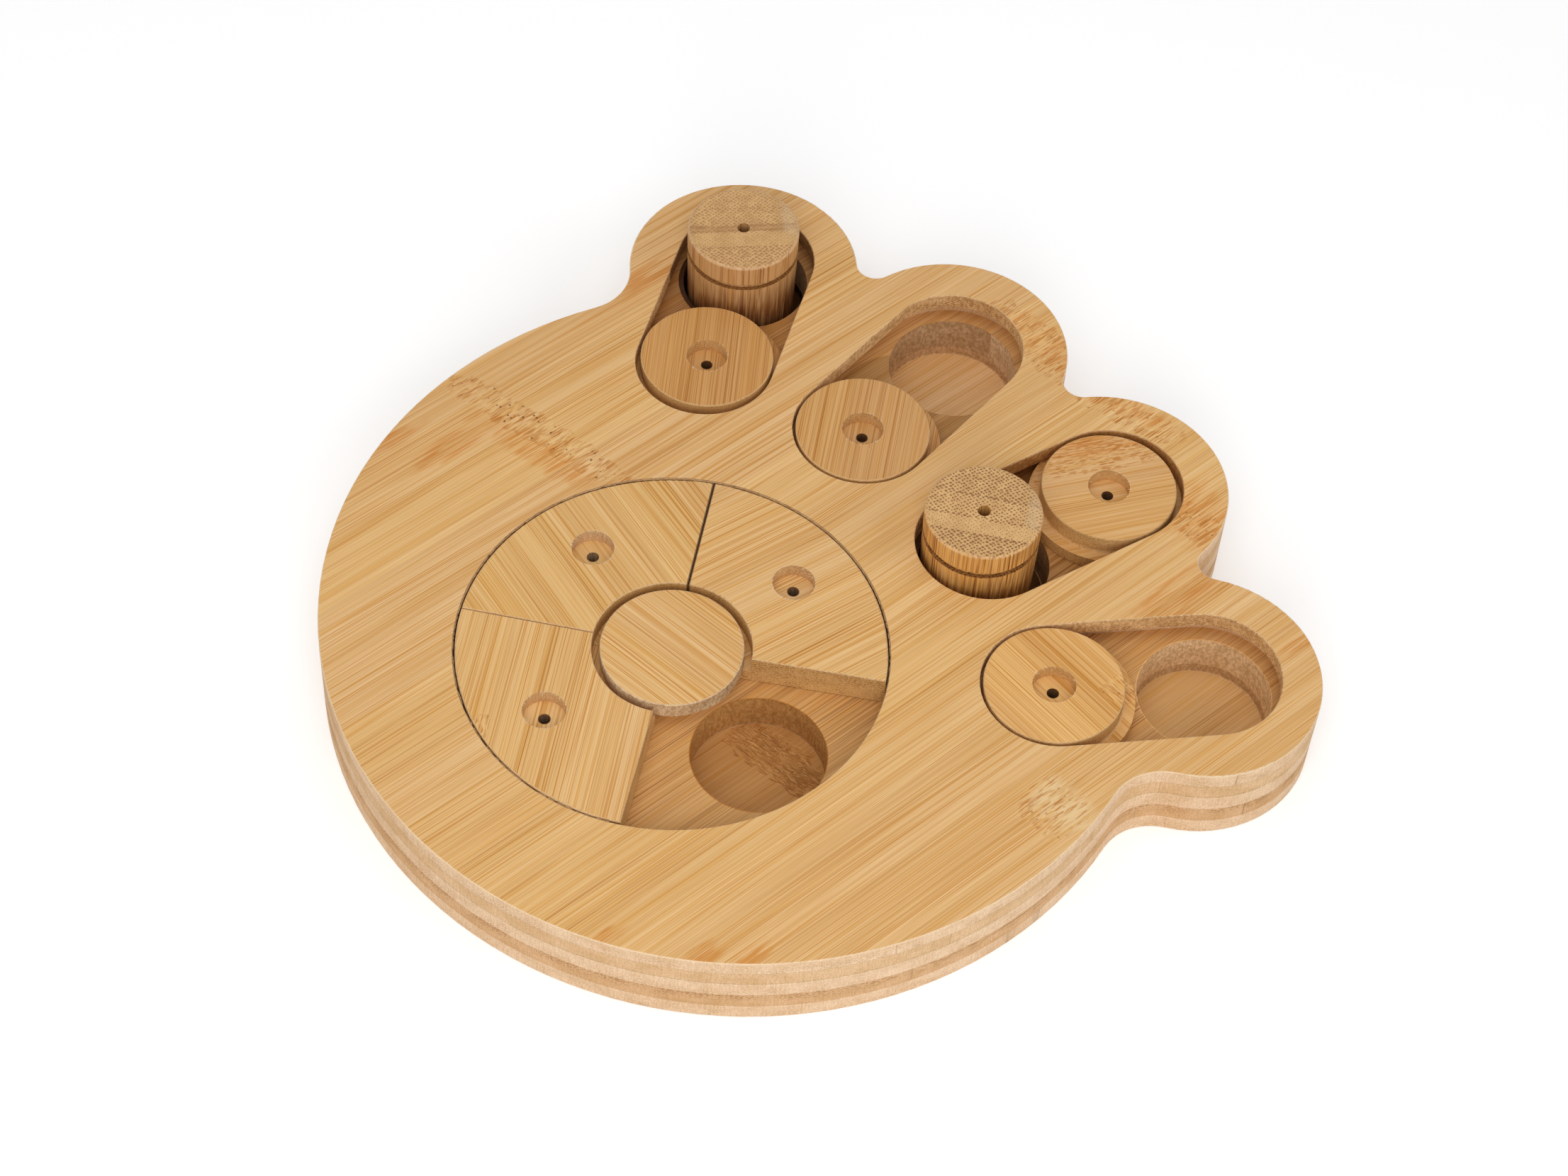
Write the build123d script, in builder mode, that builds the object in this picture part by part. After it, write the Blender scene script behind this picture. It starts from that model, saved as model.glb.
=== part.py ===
from build123d import *
from math import atan2, cos, degrees, radians, sin, sqrt
import os

# A paw-shaped treat puzzle in laminated bamboo. Five plies are glued into a board. Tiles slide round
# a hub in the pad, a round slider runs along a slot in each toe, and two plugs lift out of pockets.
# Origin: the hub's axis at the board's underside. +Y points from the heel to the toes, +Z is up.
# Toes are numbered 1 to 4 from -X to +X. Lengths are in millimetres and angles in degrees.

# Board plies, from the underside up
BASE_PLY_T = 6.2          # each of the three plies that hold the treat pockets
CHANNEL_PLY_T = 5.6       # ply whose wide openings the runners slide in
LIP_PLY_T = 5.4           # top ply, whose narrower openings hold the runners down
EDGE_R = 0.5              # sanded round on every edge that is touched

# Clearances of the loose pieces
FLOOR_GAP = 0.3           # under a tile, slider or plug
SIDE_GAP = 0.6            # between a runner and the wall that it slides along
FACE_GAP = 0.2            # between two tiles that are pushed together

# Treat pockets, the same cutter in the pad and in the toes
POCKET_R = 21.0
TOE_POCKET_DEPTH = 15.9
PAD_POCKET_DEPTH = 13.0
POCKET_COVE = 0.4         # round between a pocket's wall and floor

# Pad: a round opening with four pockets, a hub and three tiles
RIM_R = 67.0              # opening in the lip ply
RIM_LAND = 4.2            # floor left between a pocket and the rim
HUB_LAND = 2.3            # floor left between a pocket and the hub's neck
HUB_R = 22.2              # cap that the tiles' inner tongues run under
HUB_GAP = 2.5             # ring of floor seen between the cap and the tiles
RUNNER_REACH = 3.8        # how far a runner goes under the lip
RUNNER_T = 4.2            # thickness of a runner
PAD_POCKETS = 4
TILE_SPAN_ANGLE = 89.3    # that one tile fills, so three leave a gap to push them into
TILE_A_ANGLE = 173.8      # from +X round to the middle of tile A

# Finger dish and scent hole in each tile and slider
DISH_R = 6.75
DISH_DEPTH = 4.7
SCENT_R = 1.8

# Toes: where each slot starts, seen from the hub, and the way it runs
SLOT_TRAVEL = 48.2        # between the pockets at the two ends of a slot
COVER = 0.8               # how far a slider's disc overlaps a pocket
SLOT_GAP = 1.0            # between a slider's disc and the lip
INNER_TOE_ANGLE = 16.0    # from +Y round to the slot's near end
INNER_LEAN_ANGLE = 9.7    # from +Y to the slot's centre line
INNER_TOE_LAND = 11.0     # board left between the pad's channel and the slot's
INNER_TIP_BACK = 1.2      # from the slot's far end back to the centre of the toe's outline
OUTER_TOE_ANGLE = 45.6
OUTER_LEAN_ANGLE = 33.6
OUTER_TOE_LAND = 20.5
OUTER_TIP_BACK = 3.2
SLIDER_1_OUT = 2.5        # how far out from its slot's near end slider 1 stands
SLIDER_3_BACK = 1.5       # how far back from its slot's far end slider 3 stands
SLIDER_COVE = 0.8         # round between a slider's disc and its runner

# Outline of the board
TOE_WALL = 12.1           # board left outside a toe's channel
HEEL_R = 131.2
HEEL_LAND = 31.7          # board left between the pad's channel and the heel's edge
NOTCH_R = 6.2             # round notch between two toes
WAIST_R = 17.8            # hollow between an outer toe and the heel

# Plugs, which stand in a toe pocket and are lifted out by the groove
PLUG_GAP = 2.3            # between a plug's top and a pocket's wall, all round
PLUG_PROUD = 15.0         # height of a plug above the board
PLUG_TAPER = 0.7          # how much smaller the foot's radius is
PLUG_DRIFT_ANGLE = 226.7  # from +X to the way that both loose plugs have slid in their pockets
PLUG_DRIFTS = {"plug_toe_1": 0.6, "plug_toe_3": 0.95}  # how much of PLUG_GAP each has slid
PLUG_EDGE_R = 1.2
GROOVE_DROP = 9.3         # from a plug's top down to the middle of its groove
GROOVE_W = 2.4
GROOVE_DEPTH = 1.5
PLUG_SCENT_R = 2.1
TREAT_R = 12.5            # hollow in a plug's foot
TREAT_H = 13.0

# Heights and radii that follow
FLOOR_Z = 3 * BASE_PLY_T
LIP_Z = FLOOR_Z + CHANNEL_PLY_T
TOP_Z = LIP_Z + LIP_PLY_T
PIECE_Z = FLOOR_Z + FLOOR_GAP
TOE_POCKET_Z = FLOOR_Z - TOE_POCKET_DEPTH
PAD_POCKET_Z = FLOOR_Z - PAD_POCKET_DEPTH
PAD_POCKET_RING = RIM_R - RIM_LAND - POCKET_R
HUB_NECK_R = PAD_POCKET_RING - POCKET_R - HUB_LAND
TILE_R = RIM_R - SIDE_GAP
PAD_CHANNEL_R = TILE_R + RUNNER_REACH + SIDE_GAP
TILE_DISH_RING = (HUB_R + HUB_GAP + TILE_R) / 2
TILE_TURNS = {
    "ring_tile_a": TILE_A_ANGLE,
    "ring_tile_b": TILE_A_ANGLE - TILE_SPAN_ANGLE,
    "ring_tile_c": TILE_A_ANGLE + TILE_SPAN_ANGLE,
}
DISC_R = POCKET_R + COVER
SLOT_R = DISC_R + SLOT_GAP
SLIDER_R = DISC_R + RUNNER_REACH
TOE_CHANNEL_R = SLIDER_R + SIDE_GAP
TOE_R = TOE_CHANNEL_R + TOE_WALL
PLUG_R = POCKET_R - PLUG_GAP
PLUG_Z = TOE_POCKET_Z + FLOOR_GAP
PLUG_H = TOP_Z + PLUG_PROUD - PLUG_Z


class Toe:
    """A toe's slot: its near and far ends, and the centre of the toe's round outline."""

    def __init__(self, side, turn, lean, land, tip_back):
        reach = PAD_CHANNEL_R + land + TOE_CHANNEL_R
        start = Vector(side * reach * sin(radians(turn)), reach * cos(radians(turn)))
        self.way = Vector(side * sin(radians(lean)), cos(radians(lean)))
        self.angle = 90 - side * lean
        self.near = start
        self.far = self.at(SLOT_TRAVEL)
        self.middle = self.at(SLOT_TRAVEL / 2)
        self.tip = self.at(SLOT_TRAVEL - tip_back)

    def at(self, distance):
        return self.near + self.way * distance


inner = (INNER_TOE_ANGLE, INNER_LEAN_ANGLE, INNER_TOE_LAND, INNER_TIP_BACK)
outer = (OUTER_TOE_ANGLE, OUTER_LEAN_ANGLE, OUTER_TOE_LAND, OUTER_TIP_BACK)
TOES = [Toe(-1, *outer), Toe(-1, *inner), Toe(1, *inner), Toe(1, *outer)]
TOE_POCKETS = [(end.X, end.Y) for toe in TOES for end in (toe.near, toe.far)]
SLIDER_PLACES = [SLIDER_1_OUT, 0, SLOT_TRAVEL - SLIDER_3_BACK, 0]
PLUG_POCKETS = {"plug_toe_1": TOES[0].far, "plug_toe_3": TOES[2].near}
DRIFT_WAY = Vector(cos(radians(PLUG_DRIFT_ANGLE)), sin(radians(PLUG_DRIFT_ANGLE)))


def turn_of(vector):
    return degrees(atan2(vector.Y, vector.X))


def bridge_centre(a, a_r, b, b_r, r):
    """Centre of the circle of radius r that touches both circles, on the left of the way from a to b."""
    apart = (b - a).length
    along = (apart**2 + (a_r + r) ** 2 - (b_r + r) ** 2) / (2 * apart)
    aside = sqrt((a_r + r) ** 2 - along**2)
    way = (b - a).normalized()
    return a + way * along + Vector(-way.Y, way.X) * aside


def paw_outline():
    """Face inside five round lobes, clockwise from the heel, with a hollow arc between each two."""
    heel = Vector(0, HEEL_R - HEEL_LAND - PAD_CHANNEL_R)
    lobes = [(heel, HEEL_R)] + [(toe.tip, TOE_R) for toe in TOES]
    hollows = [WAIST_R, NOTCH_R, NOTCH_R, NOTCH_R, WAIST_R]
    following = lobes[1:] + lobes[:1]
    centres = [bridge_centre(*a, *b, r) for a, b, r in zip(lobes, following, hollows)]
    with BuildSketch() as outline:
        with BuildLine():
            for i, (centre, r) in enumerate(lobes):
                start = turn_of(centres[i - 1] - centre)
                sweep = (turn_of(centres[i] - centre) - start) % 360 - 360
                CenterArc((centre.X, centre.Y), r, start, sweep)
                hollow = centres[i]
                start = turn_of(centre - hollow)
                sweep = (turn_of(following[i][0] - hollow) - start) % 360
                CenterArc((hollow.X, hollow.Y), hollows[i], start, sweep)
        make_face()
    return outline.sketch


def toe_slots(r):
    for toe in TOES:
        with Locations((toe.middle.X, toe.middle.Y)):
            SlotCenterToCenter(SLOT_TRAVEL, 2 * r, rotation=toe.angle, mode=Mode.SUBTRACT)


def finger_dish(x, y):
    """Dish in a piece's top, with a scent hole through what is left under it."""
    with Locations((x, y, TOP_Z)):
        CounterBoreHole(SCENT_R, DISH_R, DISH_DEPTH)


def write(piece, name):
    piece.part.label = name
    export_step(piece.part, f"parts/{name}.step")


os.makedirs("parts", exist_ok=True)
PAW = paw_outline()

# The three base plies are stacked and bored together, so a pocket ends in whichever ply it reaches.
for level, name in enumerate(["base_ply_lower", "base_ply_middle", "base_ply_upper"]):
    bottom = level * BASE_PLY_T
    top = bottom + BASE_PLY_T
    with BuildPart() as base_ply:
        with BuildSketch(Plane.XY.offset(bottom)):
            add(PAW)
        extrude(amount=BASE_PLY_T)
        if level == 0:
            fillet(base_ply.edges().group_by(Axis.Z)[0], EDGE_R)
        toe_floor = max(bottom, TOE_POCKET_Z)
        if toe_floor < top:
            with BuildSketch(Plane.XY.offset(toe_floor)):
                with Locations(*TOE_POCKETS):
                    Circle(POCKET_R)
            extrude(amount=top - toe_floor, mode=Mode.SUBTRACT)
        pad_floor = max(bottom, PAD_POCKET_Z)
        if pad_floor < top:
            with BuildSketch(Plane.XY.offset(pad_floor)):
                with PolarLocations(PAD_POCKET_RING, PAD_POCKETS):
                    Circle(POCKET_R)
            extrude(amount=top - pad_floor, mode=Mode.SUBTRACT)
        for floor in (toe_floor, pad_floor):
            if bottom < floor < top:
                corners = base_ply.edges().filter_by_position(Axis.Z, floor, floor)
                fillet(corners, min(POCKET_COVE, (top - floor) / 2))
    write(base_ply, name)

with BuildPart() as channel_ply:
    with BuildSketch(Plane.XY.offset(FLOOR_Z)):
        add(PAW)
        Circle(PAD_CHANNEL_R, mode=Mode.SUBTRACT)
        toe_slots(TOE_CHANNEL_R)
    extrude(amount=CHANNEL_PLY_T)
write(channel_ply, "channel_ply")

with BuildPart() as lip_ply:
    with BuildSketch(Plane.XY.offset(LIP_Z)):
        add(PAW)
        Circle(RIM_R, mode=Mode.SUBTRACT)
        toe_slots(SLOT_R)
    extrude(amount=LIP_PLY_T)
    fillet(lip_ply.edges().group_by(Axis.Z)[-1], EDGE_R)
write(lip_ply, "lip_ply")

# The hub is one turned piece, glued to the floor of the pad. Its cap is as thick as the lip.
with BuildPart() as hub:
    with BuildSketch(Plane.XY.offset(FLOOR_Z)):
        Circle(HUB_NECK_R)
    extrude(amount=CHANNEL_PLY_T)
    with BuildSketch(Plane.XY.offset(LIP_Z)):
        Circle(HUB_R)
    extrude(amount=LIP_PLY_T)
    fillet(hub.edges().group_by(Axis.Z)[-1], EDGE_R)
write(hub, "hub")


def tile_sector(inner_r, outer_r):
    """Ring sector about +X, whose end faces stand back from the two radii by half the face gap."""
    half = TILE_SPAN_ANGLE / 2
    apex = FACE_GAP / 2 / sin(radians(half))
    far = 2 * outer_r
    corner = (apex + far * cos(radians(half)), far * sin(radians(half)))
    Circle(outer_r)
    Circle(inner_r, mode=Mode.SUBTRACT)
    Polygon((apex, 0), corner, (corner[0], -corner[1]), align=None, mode=Mode.INTERSECT)


# Each tile has a tongue along both curved sides: one under the hub's cap, one under the lip.
for name, turn in TILE_TURNS.items():
    way = (cos(radians(turn)), sin(radians(turn)), 0)
    with BuildPart() as tile:
        with BuildSketch(Plane((0, 0, PIECE_Z + RUNNER_T), x_dir=way)):
            tile_sector(HUB_R + HUB_GAP, TILE_R)
        extrude(amount=TOP_Z - PIECE_Z - RUNNER_T)
        fillet(tile.edges().group_by(Axis.Z)[-1], EDGE_R)
        with BuildSketch(Plane((0, 0, PIECE_Z), x_dir=way)):
            tile_sector(HUB_NECK_R + SIDE_GAP, TILE_R + RUNNER_REACH)
        extrude(amount=RUNNER_T)
        finger_dish(TILE_DISH_RING * way[0], TILE_DISH_RING * way[1])
    write(tile, name)

# Each slider is one turned piece: a disc that fills the slot and a runner under the lip.
for number, (toe, place_out) in enumerate(zip(TOES, SLIDER_PLACES), start=1):
    place = toe.at(place_out)
    with BuildPart() as slider:
        with BuildSketch(Plane((place.X, place.Y, PIECE_Z))):
            Circle(SLIDER_R)
        extrude(amount=RUNNER_T)
        step = PIECE_Z + RUNNER_T
        with BuildSketch(Plane((place.X, place.Y, step))):
            Circle(DISC_R)
        extrude(amount=TOP_Z - step)
        step_edges = slider.edges().filter_by_position(Axis.Z, step, step)
        fillet(step_edges.sort_by(SortBy.RADIUS)[0], SLIDER_COVE)
        fillet(slider.edges().group_by(Axis.Z)[-1], EDGE_R)
        finger_dish(place.X, place.Y)
    write(slider, f"toe_slider_{number}")

# Each plug is turned with its grain upright. A treat fits in the hollow foot.
foot_r = PLUG_R - PLUG_TAPER
taper = PLUG_TAPER / PLUG_H
groove_low = PLUG_H - GROOVE_DROP - GROOVE_W / 2
groove_high = groove_low + GROOVE_W
groove_r = foot_r + taper * groove_low - GROOVE_DEPTH
for name, pocket in PLUG_POCKETS.items():
    place = pocket + DRIFT_WAY * PLUG_GAP * PLUG_DRIFTS[name]
    with BuildPart() as plug:
        with BuildSketch(Plane((place.X, place.Y, PLUG_Z), x_dir=(1, 0, 0), z_dir=(0, -1, 0))):
            with BuildLine():
                Polyline(
                    (TREAT_R, 0),
                    (foot_r, 0),
                    (foot_r + taper * groove_low, groove_low),
                    (groove_r, groove_low),
                    (groove_r, groove_high),
                    (foot_r + taper * groove_high, groove_high),
                    (PLUG_R, PLUG_H),
                    (PLUG_SCENT_R, PLUG_H),
                    (PLUG_SCENT_R, TREAT_H),
                    (TREAT_R, TREAT_H),
                    close=True,
                )
            make_face()
        revolve(axis=Axis((place.X, place.Y, 0), (0, 0, 1)))
        fillet(plug.edges().group_by(Axis.Z)[-1].sort_by(SortBy.RADIUS)[-1], PLUG_EDGE_R)
        fillet(plug.edges().group_by(Axis.Z)[0].sort_by(SortBy.RADIUS)[-1], EDGE_R)
    write(plug, name)
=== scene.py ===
# %% [markdown]
# # A bamboo puzzle board for dogs
# The toy is a paw-shaped board of five glued bamboo plies. Three sector tiles turn round a fixed hub, four round
# sliders run in slots, and two turned plugs stand loose in pockets. The solids come ready made in the frame, so this
# script gives them their wood, their worn and torn edges, a table to stand on and a soft studio light.

# %% Load the frame
import math
import random

import bpy
from mathutils import Matrix, Vector


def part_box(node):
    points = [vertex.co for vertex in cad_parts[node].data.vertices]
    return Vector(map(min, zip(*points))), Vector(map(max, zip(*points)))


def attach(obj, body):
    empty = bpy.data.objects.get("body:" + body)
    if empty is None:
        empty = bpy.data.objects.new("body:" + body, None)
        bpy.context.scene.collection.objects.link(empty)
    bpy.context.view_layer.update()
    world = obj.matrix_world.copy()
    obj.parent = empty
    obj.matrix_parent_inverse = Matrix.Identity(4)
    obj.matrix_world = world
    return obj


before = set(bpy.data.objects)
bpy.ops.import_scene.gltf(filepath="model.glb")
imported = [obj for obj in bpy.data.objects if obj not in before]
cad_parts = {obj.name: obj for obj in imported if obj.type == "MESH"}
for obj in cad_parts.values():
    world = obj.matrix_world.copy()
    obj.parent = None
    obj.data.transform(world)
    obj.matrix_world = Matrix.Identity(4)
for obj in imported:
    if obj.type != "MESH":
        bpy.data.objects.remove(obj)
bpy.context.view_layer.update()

# %% [markdown]
# ## Sizes that several steps need
# Everything in the scene is in metres, but wood is read in millimetres, so textures are scaled once to millimetres.
# The levels of the glue lines are read from the plies themselves, so they can't drift away from the solids.

# %% Read the plies' levels
MM = 0.001


def top_of(node):
    """The highest point of a solid, in millimetres."""
    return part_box(node)[1].z / MM


glue_levels = [top_of(node) for node in ("base_ply_lower", "base_ply_middle", "base_ply_upper", "channel_ply")]
board_top = top_of("lip_ply")
print("glue lines at", [round(z, 2) for z in glue_levels], "mm, board top at", round(board_top, 2), "mm")

# %% [markdown]
# ## The camera
# A product picture of a flat toy is taken from above and a little to one side, with a long lens so that the board's
# far end stays as wide as its near end. The lens is 75 mm on a full-frame sensor.

# %% Place the camera
LENS, SENSOR = 75.4811, 36.0
CAMERA_PLACE = (0.4591029, -0.3902784, 0.8372896)
CAMERA_TURN = (37.768379, -2.440367, 49.642969)


def place_camera():
    data = bpy.data.cameras.new("product_camera")
    data.lens, data.sensor_width = LENS, SENSOR
    camera = bpy.data.objects.new("product_camera", data)
    camera.location = CAMERA_PLACE
    camera.rotation_euler = [math.radians(a) for a in CAMERA_TURN]
    bpy.context.scene.collection.objects.link(camera)
    bpy.context.scene.camera = camera
    return camera


camera = place_camera()
print("camera", round(camera.location.length, 3), "m from the middle of the board")

# %% [markdown]
# ## Helpers for node trees
# A material is a tree of small steps. A few helpers keep it readable. One chooses the tree to draw in, one adds a
# node to it, and one feeds a socket with a link, a plain number or a colour. The others do sums, fades and mixes.

# %% Node helpers
def draw_in(tree):
    """From here on the helpers add their nodes to this tree."""
    global drawing
    drawing = tree
    return tree


def add(kind, **settings):
    made = drawing.nodes.new(kind)
    for name, value in settings.items():
        setattr(made, name, value)
    return made


def feed(socket, value):
    if isinstance(value, bpy.types.NodeSocket):
        drawing.links.new(value, socket)
    elif socket.type == "RGBA":
        socket.default_value = (*value, 1)
    else:
        socket.default_value = value


def calc(operation, *values, clamp=False):
    made = add("ShaderNodeMath", operation=operation, use_clamp=clamp)
    for socket, value in zip(made.inputs, values):
        feed(socket, value)
    return made.outputs[0]


def times(*values):
    product = values[0]
    for value in values[1:]:
        product = calc("MULTIPLY", product, value)
    return product


def scale_add(value, scale, more):
    return calc("MULTIPLY_ADD", value, scale, more)


def fade(value, low, high, to_low=0.0, to_high=1.0):
    """A soft step: to_low at low and below, to_high at high and above."""
    made = add("ShaderNodeMapRange", interpolation_type="SMOOTHSTEP")
    for socket, given in zip(made.inputs, (value, low, high, to_low, to_high)):
        feed(socket, given)
    return made.outputs[0]


def blend(amount, under, over, how="MIX"):
    made = add("ShaderNodeMix", data_type="RGBA", blend_type=how)
    for socket, value in zip((made.inputs[0], made.inputs[6], made.inputs[7]), (amount, under, over)):
        feed(socket, value)
    return made.outputs[2]


def tint(colour, by, amount=1.0):
    """Multiplies a colour by another, as a stain or a shade does."""
    return blend(amount, colour, by, "MULTIPLY")


def use_group(group, **given):
    made = add("ShaderNodeGroup", node_tree=group)
    for label, value in given.items():
        feed(made.inputs[label.replace("_", " ")], value)
    return made.outputs


def start_group(name, inputs, outputs):
    """Inputs and outputs give each socket's kind: Float, Vector or Color."""
    tree = draw_in(bpy.data.node_groups.new(name, "ShaderNodeTree"))
    for way, sockets in (("INPUT", inputs), ("OUTPUT", outputs)):
        for label, kind in sockets.items():
            tree.interface.new_socket(label.replace("_", " "), in_out=way, socket_type="NodeSocket" + kind)
    entry, leave = add("NodeGroupInput"), add("NodeGroupOutput")
    return tree, entry.outputs, leave.inputs


print("node helpers ready")

# %% [markdown]
# ## Helpers for places and patterns
# A pattern follows a place: three numbers for each point of the wood. Squeezing, turning and shifting the place
# before the pattern reads it stretches, turns and moves the pattern. Two patterns are enough for bamboo. Blotches
# are soft and cloudy, and streaks are long thin spindles.

# %% Place and pattern helpers
def split(place):
    made = add("ShaderNodeSeparateXYZ")
    feed(made.inputs[0], place)
    return made.outputs


def join(*parts):
    made = add("ShaderNodeCombineXYZ")
    for socket, value in zip(made.inputs, parts):
        feed(socket, value)
    return made.outputs[0]


def squeeze(place, size, shift=(0.0, 0.0, 0.0), turn=0.0):
    """Scales a place so that a pattern of size 1 comes out as long as size says on each axis."""
    made = add("ShaderNodeMapping", vector_type="POINT")
    feed(made.inputs["Vector"], place)
    made.inputs["Scale"].default_value = [1.0 / s for s in size]
    made.inputs["Rotation"].default_value = (0.0, 0.0, math.radians(turn))
    made.inputs["Location"].default_value = shift
    return made.outputs[0]


def measured_from(place, middle=(0.0, 0.0), angle=0.0):
    """The place as seen from a middle in plan, with x running at this angle in degrees."""
    c, s = math.cos(math.radians(angle)), math.sin(math.radians(angle))
    shift = (-(middle[0] * c + middle[1] * s), middle[0] * s - middle[1] * c, 0.0)
    return squeeze(place, (1, 1, 1), shift, -angle)


def diagonal(x, y):
    return calc("SQRT", calc("ADD", times(x, x), times(y, y)))


def distance_from(place, middle=(0.0, 0.0)):
    x, y, _ = split(measured_from(place, middle))
    return diagonal(x, y)


def blotches(place, size, shift=(0.0, 0.0, 0.0), detail=2.0, rough=0.5):
    made = add("ShaderNodeTexNoise", noise_dimensions="3D")
    feed(made.inputs["Vector"], squeeze(place, size, shift))
    made.inputs["Scale"].default_value = 1.0
    made.inputs["Detail"].default_value = detail
    made.inputs["Roughness"].default_value = rough
    return made.outputs["Fac"]


def cells(place, dimensions, loose=1.0):
    """Random cells: how far each point is from the middle of its cell, and the cell's own random numbers."""
    made = add("ShaderNodeTexVoronoi", voronoi_dimensions=dimensions, feature="F1")
    feed(made.inputs["Vector"], place)
    made.inputs["Scale"].default_value = 1.0
    made.inputs["Randomness"].default_value = loose
    return made.outputs["Distance"], split(made.outputs["Color"])


def streaks(place, length, width, reach, shift=(0.0, 0.0, 0.0)):
    """Long thin spindles of random length in the wood. Cut along they are streaks, cut across they are dots."""
    off, (girth, weight, _) = cells(squeeze(place, (length, width, width), shift), "3D")
    edge = scale_add(girth, reach * 0.8, reach * 0.45)
    return times(fade(calc("DIVIDE", off, edge), 1.0, 0.6), scale_add(weight, 0.6, 0.4))


print("pattern helpers ready")

# %% [markdown]
# ## Bamboo as a solid
# Bamboo has no rings. It is pale pith with thousands of dark fibre bundles running one way, and a knuckle every so
# often where the bundles jumble. Boards are pressed from strips about 20 mm wide, each a little different in tone.
# A picture wrapped on the outside would never match round an edge, so the wood is made as a solid pattern: spindles
# stretched along the grain. A face cut along the grain shows threads, a face cut across it shows dots, and both meet
# at the edge by themselves. Place is in millimetres: x along the grain, y across the strips, z through them.

# %% Build the bamboo fibre group
SWAY, JUMBLE = 1.4, 0.7
MASKS = ("Thread", "Hair", "Tone", "Band", "Strip_Tone", "Seam", "Dash", "Dot")


def build_fibres():
    tree, given, out = start_group("Bamboo fibres", dict(Place="Vector", Strip="Float", Knuckle="Float", Short="Float"),
                                   dict.fromkeys((*MASKS, "Bundle"), "Float"))
    u, v, w = split(given["Place"])
    across = calc("DIVIDE", v, given["Strip"])
    luck = add("ShaderNodeTexWhiteNoise", noise_dimensions="1D")
    feed(luck.inputs["W"], calc("FLOOR", across))
    tone, shift, _ = split(luck.outputs["Color"])
    feed(out["Strip Tone"], tone)
    # The seam between two strips is a line a tenth of a millimetre wide.
    beside = times(calc("PINGPONG", across, 0.5), given["Strip"])
    feed(out["Seam"], fade(beside, 0.16, 0.03))
    # Bundles wander a little, and far more in a knuckle.
    slow = blotches(given["Place"], (90, 16, 16), detail=1.0)
    quick = blotches(given["Place"], (9, 3.5, 3.5), detail=1.0)
    sway = times(calc("SUBTRACT", slow, 0.5), SWAY)
    jumble = times(calc("SUBTRACT", quick, 0.5), times(given["Knuckle"], JUMBLE))
    v = calc("ADD", v, calc("ADD", sway, jumble))
    # Each strip comes from another stem, so its pattern is shifted by its own luck.
    u, w = scale_add(shift, 900.0, u), scale_add(tone, 40.0, w)
    place = join(u, v, w)
    # Threads crowd in some patches and are nearly missing in others.
    patchy = fade(blotches(place, (150, 4, 4), (3, 9, 5)), 0.36, 0.60)
    long = times(streaks(place, 210.0, 0.50, 0.52), scale_add(patchy, 0.4, 0.6))
    brief = times(streaks(place, 80.0, 0.42, 0.50, (7.3, 2.1, 4.4)), scale_add(patchy, 0.75, 0.2))
    faint = times(streaks(place, 110.0, 0.36, 0.44, (1.7, 5.5, 3.2)), 0.45)
    thread = calc("MAXIMUM", calc("MAXIMUM", long, brief), faint)
    feed(out["Thread"], times(thread, scale_add(given["Knuckle"], -0.6, 1.0)))
    feed(out["Hair"], blotches(place, (30, 0.28, 0.28), detail=3.0, rough=0.6))
    feed(out["Tone"], fade(blotches(place, (300, 7, 7), (4, 1, 2)), 0.3, 0.7))
    feed(out["Band"], fade(blotches(place, (140, 1.2, 1.2), (8, 3, 6)), 0.5, 0.68))
    # In a knuckle the bundles are cut slantwise into short dashes, with a few dark dots where they leave the stem.
    chopped = join(times(u, given["Short"]), v, w)
    dash = streaks(chopped, 6.5, 0.50, 0.74, (2, 8, 1))
    ragged = fade(blotches(place, (7, 2.2, 2.2), (6, 1, 3)), 0.36, 0.52, 0.25, 1.0)
    feed(out["Dash"], times(dash, ragged, fade(given["Knuckle"], 0.1, 0.55)))
    off, (size, _, _) = cells(squeeze(given["Place"], (3.0, 2.7, 1.0)), "2D")
    dot = fade(calc("DIVIDE", off, fade(size, 0.35, 1.0, 0.01, 0.16)), 1.15, 0.7)
    feed(out["Dot"], times(dot, fade(given["Knuckle"], 0.3, 0.6)))
    # Cut across, the bundles end in staggered rows of dots. Along the grain the same cells run on as fine lines.
    off, (girth, _, _) = cells(squeeze(join(v, w, 0.0), (0.95, 0.72, 1.0), turn=45), "2D", 0.55)
    feed(out["Bundle"], fade(calc("DIVIDE", off, scale_add(girth, 0.16, 0.24)), 1.3, 0.5))
    return tree


fibres = build_fibres()
print("fibre group has", len(fibres.nodes), "nodes")

# %% [markdown]
# ## Colour of the wood
# Steamed bamboo is a warm caramel. The pith is light, the bundles are orange brown, and each strip leans a little to
# pink or to gold. The group takes the masks from the fibres and paints them, so every piece shares one recipe and
# only its own light and dark colours differ.

# %% Build the wood colour group
STAIN_TINT, KNUCKLE_TINT, DEEP_TINT = (0.86, 0.61, 0.38), (1.04, 1.07, 1.09), (0.86, 0.80, 0.70)
DASH_BROWN, DOT_BROWN, SEAM_BROWN = (0.50, 0.180, 0.027), (0.20, 0.068, 0.020), (0.36, 0.18, 0.07)


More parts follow.
